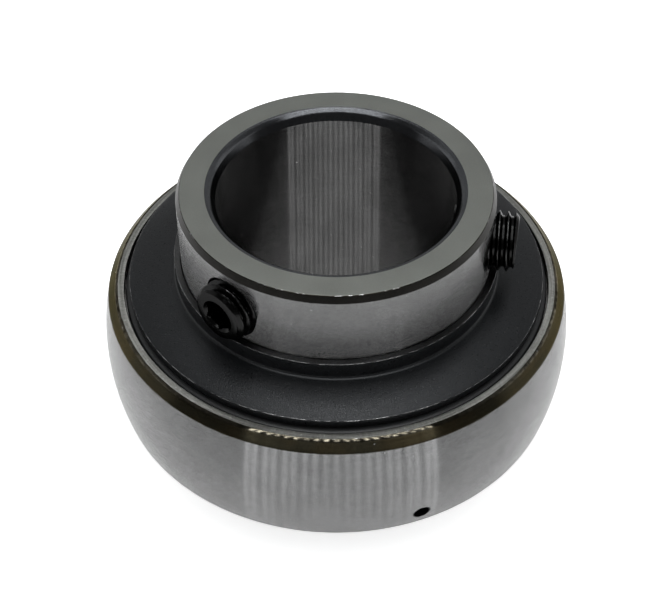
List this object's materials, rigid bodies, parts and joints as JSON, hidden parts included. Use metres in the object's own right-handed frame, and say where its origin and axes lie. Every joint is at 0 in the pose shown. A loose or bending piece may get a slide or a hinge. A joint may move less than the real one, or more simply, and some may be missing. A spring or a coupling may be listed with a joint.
{
  "type": "insert bearing",
  "caption": "Insert ball bearing with a wide inner ring, a spherical outer ring, seals with slingers on both sides and hex-socket set screws that lock it on a shaft.",
  "frame": {"origin": "centre of the inner ring's short end, which is the base", "axes": "+Z along the shaft axis towards the set-screw end, +X along set screw a's axis"},
  "size_m": [0.052, 0.052, 0.0341],
  "materials": {
    "ground_steel": "ground, with a dark unground edge on the outer ring",
    "polished_steel": "polished",
    "pressed_steel": "plain pressed strip",
    "black_slinger": "black coating, half gloss",
    "black_oxide": "black oxide",
    "rubber": "moulded, matte"
  },
  "bodies": {
    "inner": {"inner_ring": "ground_steel", "slinger_upper": "black_slinger", "slinger_lower": "black_slinger"},
    "outer": {"outer_ring": "ground_steel", "seal_core_upper": "pressed_steel", "seal_core_lower": "pressed_steel", "seal_rubber_upper": "rubber", "seal_rubber_lower": "rubber"},
    "cage": {"cage_half_upper": "pressed_steel", "cage_half_lower": "pressed_steel", "cage_rivet_1": "pressed_steel", "cage_rivet_2": "pressed_steel", "cage_rivet_3": "pressed_steel", "cage_rivet_4": "pressed_steel", "cage_rivet_5": "pressed_steel", "cage_rivet_6": "pressed_steel", "cage_rivet_7": "pressed_steel", "cage_rivet_8": "pressed_steel", "cage_rivet_9": "pressed_steel"},
    "set_screw_a": {"set_screw_a": "black_oxide"},
    "set_screw_b": {"set_screw_b": "black_oxide"},
    "ball_1": {"ball_1": "polished_steel"},
    "ball_2": {"ball_2": "polished_steel"},
    "ball_3": {"ball_3": "polished_steel"},
    "ball_4": {"ball_4": "polished_steel"},
    "ball_5": {"ball_5": "polished_steel"},
    "ball_6": {"ball_6": "polished_steel"},
    "ball_7": {"ball_7": "polished_steel"},
    "ball_8": {"ball_8": "polished_steel"},
    "ball_9": {"ball_9": "polished_steel"}
  },
  "joints": [
    {"name": "outer_spin", "type": "hinge", "parent": "inner", "child": "outer", "pos_m": [0, 0, 0.0143], "axis": [0, 0, 1], "continuous": true},
    {"name": "cage_spin", "type": "hinge", "parent": "inner", "child": "cage", "pos_m": [0, 0, 0.0143], "axis": [0, 0, 1], "continuous": true},
    {"name": "ball_1_spin", "type": "hinge", "parent": "cage", "child": "ball_1", "pos_m": [0.01935, 0, 0.0143], "axis": [0, 0, 1], "continuous": true},
    {"name": "ball_2_spin", "type": "hinge", "parent": "cage", "child": "ball_2", "pos_m": [0.01482, 0.01244, 0.0143], "axis": [0, 0, 1], "continuous": true},
    {"name": "ball_3_spin", "type": "hinge", "parent": "cage", "child": "ball_3", "pos_m": [0.00336, 0.01906, 0.0143], "axis": [0, 0, 1], "continuous": true},
    {"name": "ball_4_spin", "type": "hinge", "parent": "cage", "child": "ball_4", "pos_m": [-0.00967, 0.01676, 0.0143], "axis": [0, 0, 1], "continuous": true},
    {"name": "ball_5_spin", "type": "hinge", "parent": "cage", "child": "ball_5", "pos_m": [-0.01818, 0.00662, 0.0143], "axis": [0, 0, 1], "continuous": true},
    {"name": "ball_6_spin", "type": "hinge", "parent": "cage", "child": "ball_6", "pos_m": [-0.01818, -0.00662, 0.0143], "axis": [0, 0, 1], "continuous": true},
    {"name": "ball_7_spin", "type": "hinge", "parent": "cage", "child": "ball_7", "pos_m": [-0.00967, -0.01676, 0.0143], "axis": [0, 0, 1], "continuous": true},
    {"name": "ball_8_spin", "type": "hinge", "parent": "cage", "child": "ball_8", "pos_m": [0.00336, -0.01906, 0.0143], "axis": [0, 0, 1], "continuous": true},
    {"name": "ball_9_spin", "type": "hinge", "parent": "cage", "child": "ball_9", "pos_m": [0.01482, -0.01244, 0.0143], "axis": [0, 0, 1], "continuous": true},
    {"name": "set_screw_a_turn_in", "type": "slide", "parent": "inner", "child": "set_screw_a", "axis": [1, 0, 0], "range_m": [-0.0025, 0.0015]},
    {"name": "set_screw_b_turn_in", "type": "slide", "parent": "inner", "child": "set_screw_b", "axis": [-0.5, -0.866, 0], "range_m": [-0.00175, 0.0015]}
  ],
  "couplings": [
    {"joint": "cage_spin", "follows": "outer_spin", "ratio": 0.60256},
    {"joint": "ball_1_spin", "follows": "outer_spin", "ratio": 2.3351},
    {"joint": "ball_2_spin", "follows": "outer_spin", "ratio": 2.3351},
    {"joint": "ball_3_spin", "follows": "outer_spin", "ratio": 2.3351},
    {"joint": "ball_4_spin", "follows": "outer_spin", "ratio": 2.3351},
    {"joint": "ball_5_spin", "follows": "outer_spin", "ratio": 2.3351},
    {"joint": "ball_6_spin", "follows": "outer_spin", "ratio": 2.3351},
    {"joint": "ball_7_spin", "follows": "outer_spin", "ratio": 2.3351},
    {"joint": "ball_8_spin", "follows": "outer_spin", "ratio": 2.3351},
    {"joint": "ball_9_spin", "follows": "outer_spin", "ratio": 2.3351}
  ]
}
